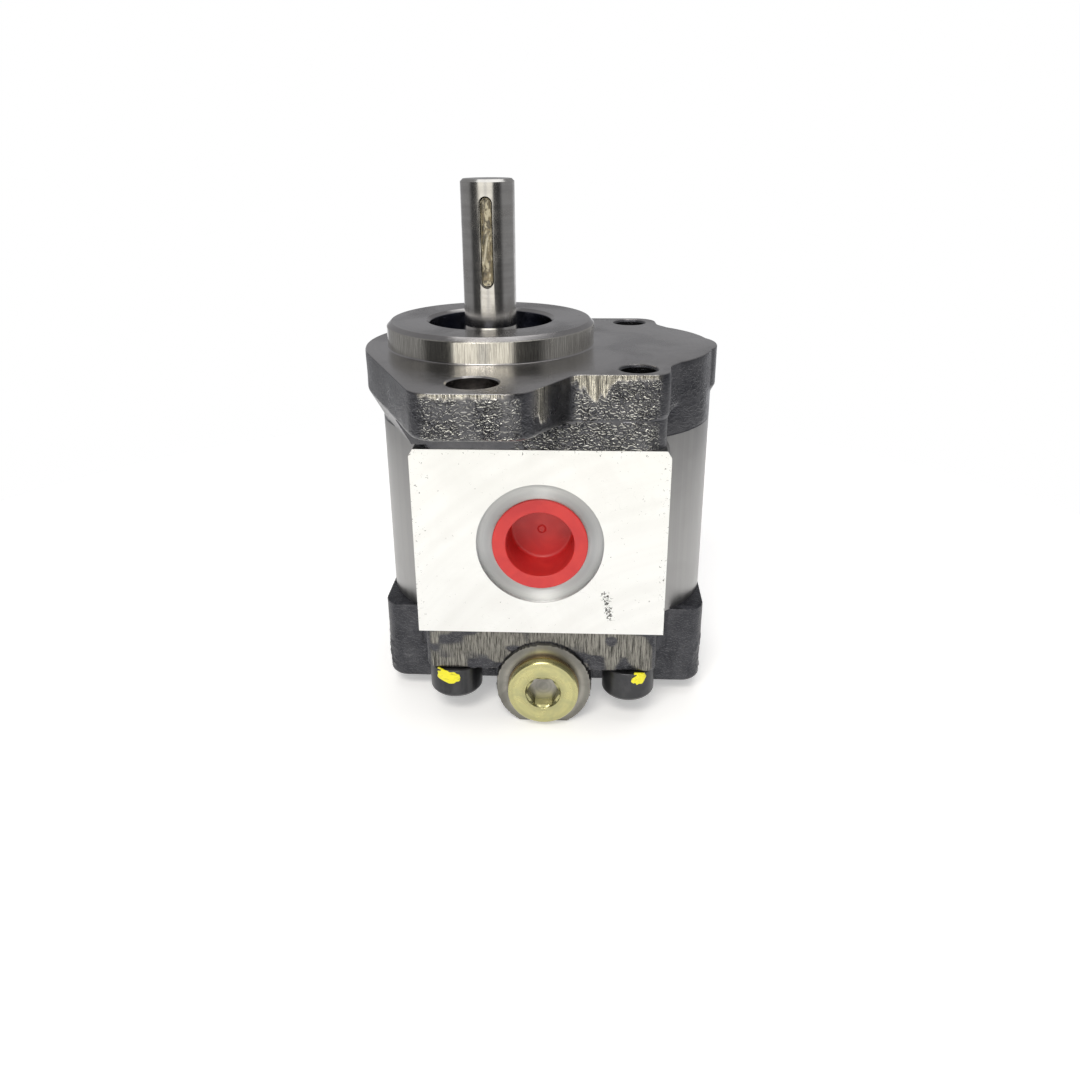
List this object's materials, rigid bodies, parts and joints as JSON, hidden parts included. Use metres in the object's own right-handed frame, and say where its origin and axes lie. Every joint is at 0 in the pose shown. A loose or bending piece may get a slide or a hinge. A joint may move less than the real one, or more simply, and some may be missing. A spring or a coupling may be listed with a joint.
{
  "type": "hydraulic gear pump",
  "caption": "External gear hydraulic pump with a keyed drive shaft, pilot flange with bolt ears, aluminium gear housing, side ports and a relief valve in its rear cover.",
  "frame": {"origin": "on the drive shaft's axis, in the plane of the flange's mounting face", "axes": "+Z out along the drive shaft, +X towards the driven gear, the inlet port opens along -Y and the outlet along +Y"},
  "size_m": [0.0866, 0.1018, 0.1261],
  "materials": {
    "flange_iron": "black cast skin with machined faces",
    "cover_iron": "black cast skin with a ground front",
    "housing_aluminium": "extruded sides, fly-cut pads",
    "bearing_aluminium": "turned",
    "hardened_steel": "hardened and ground",
    "bush_bronze": "sintered bronze, coated bore",
    "seal_rubber": "nitrile, blue-black",
    "backup_plastic": "natural nylon",
    "case_steel": "pressed",
    "spring_steel": "drawn wire",
    "bolt_black": "black oxide",
    "dowel_steel": "ground",
    "plug_red": "soft polythene, translucent red",
    "zinc_yellow": "yellow passivated zinc plate",
    "washer_copper": "annealed copper"
  },
  "bodies": {
    "housing": {"front_flange": "flange_iron", "gear_housing": "housing_aluminium", "rear_cover": "cover_iron", "front_bearing_block": "bearing_aluminium", "rear_bearing_block": "bearing_aluminium", "drive_front_bush": "bush_bronze", "driven_front_bush": "bush_bronze", "drive_rear_bush": "bush_bronze", "driven_rear_bush": "bush_bronze", "front_balance_seal": "seal_rubber", "rear_balance_seal": "seal_rubber", "front_backup_strip": "backup_plastic", "rear_backup_strip": "backup_plastic", "front_housing_seal": "seal_rubber", "rear_housing_seal": "seal_rubber", "shaft_seal": "seal_rubber", "seal_case": "case_steel", "garter_spring": "spring_steel", "body_bolts": "bolt_black", "front_dowels": "dowel_steel", "rear_dowels": "dowel_steel", "relief_plug": "zinc_yellow", "relief_plug_washer": "washer_copper", "relief_seat": "hardened_steel", "relief_spring": "spring_steel"},
    "drive_shaft": {"drive_gear_shaft": "hardened_steel"},
    "driven_gear": {"driven_gear_shaft": "hardened_steel"},
    "valve_poppet": {"relief_poppet": "hardened_steel"},
    "inlet_plug": {"inlet_port_plug": "plug_red"},
    "outlet_plug": {"outlet_port_plug": "plug_red"}
  },
  "joints": [
    {"name": "drive_shaft_spin", "type": "hinge", "parent": "housing", "child": "drive_shaft", "pos_m": [0, 0, -0.04], "axis": [0, 0, 1], "continuous": true},
    {"name": "driven_gear_spin", "type": "hinge", "parent": "housing", "child": "driven_gear", "pos_m": [0.027, 0, -0.04], "axis": [0, 0, 1], "continuous": true},
    {"name": "relief_poppet_slide", "type": "slide", "parent": "housing", "child": "valve_poppet", "axis": [0, -1, 0], "range_m": [0, 0.0025], "stiffness_N_per_m": 6000, "springref_m": -0.004, "deforming": ["relief_spring"]},
    {"name": "inlet_plug_pull", "type": "slide", "parent": "housing", "child": "inlet_plug", "axis": [0, -1, 0], "range_m": [0, 0.014]},
    {"name": "outlet_plug_pull", "type": "slide", "parent": "housing", "child": "outlet_plug", "axis": [0, 1, 0], "range_m": [0, 0.014]}
  ],
  "couplings": [
    {"joint": "driven_gear_spin", "follows": "drive_shaft_spin", "ratio": -1}
  ]
}
